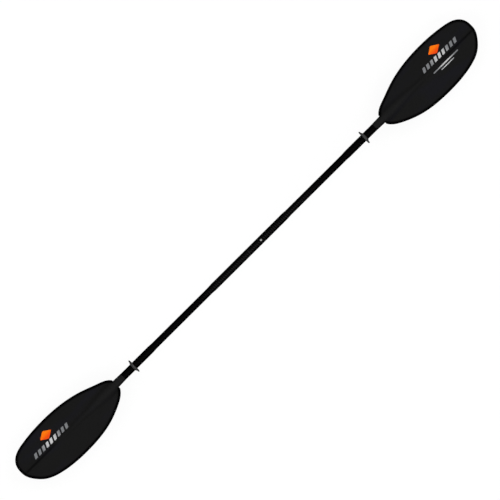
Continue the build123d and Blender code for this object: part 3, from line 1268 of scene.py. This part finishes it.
@dataclass
class DripRing:
    """One rubber drip ring: a ribbed hub and a flange that leans like a cup towards the hand."""

    end: End
    rack: FinishRack
    at: float = 562.0
    lip_r: float = 26.8
    bore: float = 13.63
    hub_r: float = 16.4
    hub_outer: float = 6.5
    hub_inner: float = -2.6
    lip_at: float = 0.4
    lip_half: float = 2.3
    cup_at: float = -1.4
    ribs: int = 40
    rib_high: float = 0.16

    @staticmethod
    def bend(start: Point2, leave: Point2, stop: Point2, arrive: Point2) -> list[Point2]:
        """Draws one curved side of the flange.

        Args:
            start: Where the curve starts.
            leave: The pull on its start.
            stop: Where the curve ends.
            arrive: The pull on its end.

        Returns:
            Points along the curve.
        """
        one, two = np.add(start, leave), np.add(stop, arrive)
        share = np.linspace(0.0, 1.0, 14)[:, None]
        curve = (1 - share) ** 3 * start + 3 * share * (1 - share) ** 2 * one
        curve = curve + 3 * share**2 * (1 - share) * two + share**3 * stop
        return [tuple(point) for point in curve]

    def profile(self) -> list[Point2]:
        """The section, from the bore over the hub's outer end, round the flange and down the cup.

        Returns:
            Points as distance along the shaft and radius.
        """
        out, back, top, lip_r = self.hub_outer, self.hub_inner, self.hub_r, self.lip_r - self.lip_half
        outer = [(out - 0.5, self.bore), (out, self.bore + 0.5), (out, top - 1.3), (out - 0.3, top - 0.6)]
        inner = [(back + 0.25, top - 1.0), (back, top - 1.4)]
        inner += [(back, self.bore + 0.5), (back + 0.5, self.bore)]
        lip_out, lip_in = self.lip_at + self.lip_half - 0.45, self.lip_at - self.lip_half + 0.45
        rise = self.bend((out - 1.0, top + 0.1), (-0.9, 1.4), (lip_out, lip_r - 0.9), (0.3, -3.4))
        fall = self.bend((lip_in, lip_r - 0.9), (0.45, -3.0), (self.cup_at, top + 0.9), (0.0, 2.0))
        turn = np.linspace(math.radians(-20), math.radians(200), 19)
        lip = [(self.lip_at + self.lip_half * math.cos(t), lip_r + self.lip_half * math.sin(t)) for t in turn]
        foot = [(self.cup_at - 0.1, top + 0.3), (self.cup_at - 0.45, top - 0.1)]
        return outer + rise + lip + fall + foot + inner

    def build(self) -> bpy.types.Object:
        """Turns the ring, adds the hub's small grip ribs and sets it on its own body.

        Returns:
            The ring.
        """
        profile = [(self.at + x, r) for x, r in self.profile()]
        rows = turned_rows([*profile, profile[0]], 160)
        radius, angle = np.hypot(rows[..., 1], rows[..., 2]), np.arctan2(rows[..., 1], rows[..., 2])
        on_hub = (radius > self.hub_r - 1.2) & (radius < self.hub_r + 1.0)
        grow = np.where(on_hub, self.rib_high * np.cos(angle * self.ribs), 0.0)
        rows[..., 1:] *= ((radius + grow) / radius)[..., None]
        draft = MeshDraft()
        draft.add_rows(rows, loop=True)
        piece = draft.build(f"{self.end.word}_ring_moulding", mirrored=self.end is End.LEFT)
        self.rack.dress(piece, "ring_rubber")
        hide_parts(f"{self.end.word}_drip_ring")
        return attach(piece, f"{self.end.word}_ring")


@dataclass
class SnapButton:
    """The steel button and the bent leaf that pushes it out."""

    rack: FinishRack
    at: float = 58.0
    top: float = 15.0
    radius: float = 3.85
    dome: float = 0.5
    leaf_top: float = 7.2
    leaf_low: float = -7.8
    leaf_thick: float = 0.8
    leaf_wide: float = 9.0
    leaf_ease: float = 0.2
    travel: float = 4.2

    def button_profile(self) -> list[Point2]:
        """Height and radius of the button's section, from its crown to the rivet's foot.

        Returns:
            Points as height and radius.
        """
        curve = (self.radius**2 + self.dome**2) / (2 * self.dome)
        reach = math.asin((self.radius - 0.25) / curve)
        turn = np.linspace(0.02, reach, 12)
        crown = [(self.top - curve * (1 - math.cos(t)), curve * math.sin(t)) for t in turn]
        base = crown[-1][0]
        wall = [(base - 0.12, self.radius - 0.07), (base - 0.35, self.radius), (8.0, self.radius)]
        wall += [(7.9, self.radius + 0.05)]
        flange = [(7.9, 4.3), (7.82, 4.4), (7.35, 4.4), (7.25, 4.3), (7.25, 1.5)]
        rivet = [(6.35, 1.5), (6.35, 2.4), (6.2, 2.5), (5.75, 2.3), (5.55, 1.7), (5.55, 0.05)]
        return crown + wall + flange + rivet

    def build_button(self) -> bpy.types.Object:
        """Turns the button about its own upright axis.

        Returns:
            The button.
        """
        rows = turned_rows(self.button_profile(), 64, upright=True)
        rows[..., 0] += self.at
        draft = MeshDraft()
        start, width = draft.add_rows(rows, loop=True), rows.shape[1]
        draft.cap(start, width, backward=True)
        draft.cap(start + (len(rows) - 1) * width, width)
        piece = draft.build("snap_button_turned", sharp=35.0)
        self.rack.dress(piece, "button_steel")
        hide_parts("snap_button")
        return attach(piece, "button")

    def leaf_path(self) -> np.ndarray:
        """The leaf's middle line, from the flat under the button round the bend to its foot.

        Returns:
            Points as distance along the shaft and height.
        """
        top, low = self.leaf_top - self.leaf_thick / 2, self.leaf_low + self.leaf_thick / 2
        arm_top = [(66.0, top), (60.0, top), (54.0, top), (51.0, top - 0.15), (48.5, top - 0.75)]
        bend = [(30.0, top - 4.2), (27.2, 1.6), (25.3, 0.2), (27.0, -1.5), (30.0, -2.6)]
        arm_low = [(44.0, -5.0), (56.0, low + 0.5), (61.0, low + 0.05), (62.0, low + 0.3)]
        return cubic_through(arm_top + bend + arm_low, 90)

    def build_leaf(self) -> bpy.types.Object:
        """Sweeps a strip with eased edges along the leaf's path.

        Returns:
            The leaf, on a mesh of its own.
        """
        path = self.leaf_path()
        slope = np.gradient(path, axis=0)
        normal = np.stack([-slope[:, 1], slope[:, 0]], axis=1) / np.linalg.norm(slope, axis=1)[:, None]
        half, wide, ease = self.leaf_thick / 2, self.leaf_wide / 2, self.leaf_ease
        quarter = [(wide - ease, half), (wide, half - ease)]
        right = quarter + [(side, -lift) for side, lift in reversed(quarter)]
        section = right + [(-side, lift) for side, lift in reversed(right)]
        section = section[-1:] + section[:-1]
        rows = []
        for k, (point, up) in enumerate(zip(path, normal)):
            to_end = min(k, len(path) - 1 - k, 5)
            narrow = 0.55 + 0.45 * math.sqrt(to_end / 5)
            x, z = point
            rows.append([(x + up[0] * lift, side * narrow, z + up[1] * lift) for side, lift in section])
        draft = MeshDraft()
        start, width = draft.add_rows(np.array(rows), loop=True), len(section)
        draft.cap(start, width, backward=True)
        draft.cap(start + (len(rows) - 1) * width, width)
        piece = draft.build("snap_leaf_bent", sharp=35.0)
        self.rack.dress(piece, "spring_steel")
        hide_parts("snap_spring")
        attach(piece, "left_half")
        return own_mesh(piece)

    def build(self) -> list[bpy.types.Object]:
        """Builds both pieces."""
        return [self.build_button(), self.build_leaf()]


@dataclass
class ShaftAndFerrule:
    """The tubes, the ferrule's parts and the foam bungs: their CAD shapes, dressed."""

    rack: FinishRack
    slots: dict[str, str] = field(
        default_factory=lambda: {
            "left_shaft": "carbon_tube",
            "right_shaft": "carbon_tube",
            "male_ferrule": "ferrule_glassfibre",
            "female_ferrule": "ferrule_glassfibre",
            "male_ferrule_plug": "plug_plastic",
            "left_foam_bung": "bung_foam",
            "right_foam_bung": "bung_foam",
        }
    )

    def build(self) -> list[bpy.types.Object]:
        """Dresses each node.

        Returns:
            The dressed nodes.
        """
        nodes = []
        for name, slot in self.slots.items():
            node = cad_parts[name]
            self.rack.dress(node, slot)
            nodes.append(node)
        return nodes


# ---------------------------------------------------------------- studio


@dataclass
class Studio:
    """A pale cove, a dim dome, soft lamps on four sides and the camera straight overhead."""

    floor_z: float = -0.100
    floor_r: float = 45.0
    cove_r: float = 12.0
    cove_top: float = 30.0
    lens: float = 200.0
    sensor: float = 36.0
    frame_width: float = 1.7335
    turn: float = 44.81
    aim: Point2 = (0.0066, 0.0020)
    zenith: float = 0.42
    lean: float = 19.0
    horizon: float = 0.04
    nadir: float = 0.02
    glow: float = 0.90
    cove_colours: tuple[Colour, Colour] = ((0.10, 0.10, 0.10), (0.11, 0.11, 0.11))
    lamp_height: float = 50.0
    lamp_angle: float = 40.0
    lamps: tuple[tuple[float, float], ...] = ((0, 1.2), (90, 0.75), (180, 1.2), (270, 0.75))

    def lay_cove(self) -> None:
        """Lays a round floor that turns up into a wall, clear of the feathered blade's lowest edge."""
        bench = NodeBench("studio_cove")
        cloud = bench.noise(bench.place(), 0.8, 2.0)
        bench.plain(Specular_IOR_Level=0.0, Emission_Color=(1.0, 1.0, 1.0, 1.0), Emission_Strength=self.glow)
        colour = bench.tint(bench.span(cloud, 0.3, 0.7), *self.cove_colours)
        material = bench.finish(colour, 0.9)
        turn = np.linspace(0, math.pi / 2, 13)
        profile = [(0.0, r) for r in (0.5, 2.0, 8.0, 20.0)]
        for t in turn:
            profile.append((self.cove_r * (1 - math.cos(t)), self.floor_r + self.cove_r * math.sin(t)))
        profile.append((self.cove_top, self.floor_r + self.cove_r))
        rows = turned_rows([(h + self.floor_z, r) for h, r in profile], 96, upright=True) / MM
        draft = MeshDraft()
        draft.cap(draft.add_rows(rows, loop=True), rows.shape[1], backward=True)
        cove = draft.build("studio_cove")
        cove.data.materials.append(material)
        cove.visible_diffuse = cove.visible_glossy = cove.visible_shadow = False

    def hang_dome(self) -> None:
        """Hangs a dome that glows softly overhead and is dark towards the horizon."""
        world = bpy.data.worlds.new("studio_dome")
        bpy.context.scene.world = world
        world.use_nodes = True
        tree = world.node_tree
        tree.nodes.clear()
        output, glow = tree.nodes.new("ShaderNodeOutputWorld"), tree.nodes.new("ShaderNodeBackground")
        place, parts = tree.nodes.new("ShaderNodeTexCoord"), tree.nodes.new("ShaderNodeSeparateXYZ")
        tree.links.new(place.outputs["Generated"], parts.inputs[0])
        whole = tree.nodes.new("ShaderNodeMath")
        whole.operation = "ADD"
        lean = tree.nodes.new("ShaderNodeVectorMath")
        lean.operation = "DOT_PRODUCT"
        tree.links.new(place.outputs["Generated"], lean.inputs[0])
        lean_by = math.radians(self.lean)
        lean.inputs[1].default_value = (0.0, -math.sin(lean_by), math.cos(lean_by))
        glows = (
            (lean.outputs["Value"], (0.70, 0.95, self.horizon, self.zenith)),
            (parts.outputs["Z"], (-0.3, 0.1, self.nadir - self.horizon, 0.0)),
        )
        for target, (source, settings) in zip(whole.inputs, glows):
            spread = tree.nodes.new("ShaderNodeMapRange")
            spread.interpolation_type = "SMOOTHSTEP"
            tree.links.new(source, spread.inputs[0])
            for entry, value in zip(list(spread.inputs)[1:5], settings):
                entry.default_value = value
            tree.links.new(spread.outputs[0], target)
        tree.links.new(whole.outputs[0], glow.inputs["Strength"])
        glow.inputs["Color"].default_value = (1, 1, 1, 1)
        tree.links.new(glow.outputs[0], output.inputs["Surface"])

    def set_lamps(self) -> None:
        """Sets the soft lamps all round; they fill the shapes and leave the highlights to the dome."""
        for number, (azimuth, strength) in enumerate(self.lamps):
            lamp = bpy.data.lights.new(f"soft_lamp_{number}", "SUN")
            lamp.energy = strength
            lamp.angle = math.radians(self.lamp_angle)
            holder = bpy.data.objects.new(f"soft_lamp_{number}", lamp)
            holder.rotation_euler = (0, math.radians(90 - self.lamp_height), math.radians(azimuth))
            holder.visible_glossy = False
            bpy.context.scene.collection.objects.link(holder)

    def set_camera(self) -> None:
        """Sets the camera over the paddle, turned so that the shaft runs corner to corner."""
        data = bpy.data.cameras.new("camera")
        data.lens, data.sensor_width = self.lens, self.sensor
        data.clip_end = 200.0
        camera = bpy.data.objects.new("camera", data)
        camera.location = (*self.aim, self.lens / self.sensor * self.frame_width)
        camera.rotation_euler = (0, 0, math.radians(-self.turn))
        bpy.context.scene.collection.objects.link(camera)
        bpy.context.scene.camera = camera

    def build(self) -> None:
        """Sets the whole studio, with plain colour handling."""
        bpy.context.scene.view_settings.view_transform = "Standard"
        self.lay_cove()
        self.hang_dome()
        self.set_lamps()
        self.set_camera()


def report(pieces: Sequence[bpy.types.Object]) -> None:
    """Writes each piece and its size to the log.

    Args:
        pieces: The pieces to report.
    """
    for piece in pieces:
        LOG.info("%s: %d points, %d faces", piece.name, len(piece.data.vertices), len(piece.data.polygons))


def main() -> None:
    """Builds the paddle piece by piece, then the studio."""
    logging.basicConfig(level=logging.INFO, format="%(message)s")
    rack = FinishRack()
    rack.fill()
    report(ShaftAndFerrule(rack).build())
    for end in End:
        report([Blade(end, rack).build()])
        report(BladeGraphics(end, rack).build())
        report([DripRing(end, rack).build()])
    report(SnapButton(rack).build())
    Studio().build()


if __name__ == "__main__":
    main()
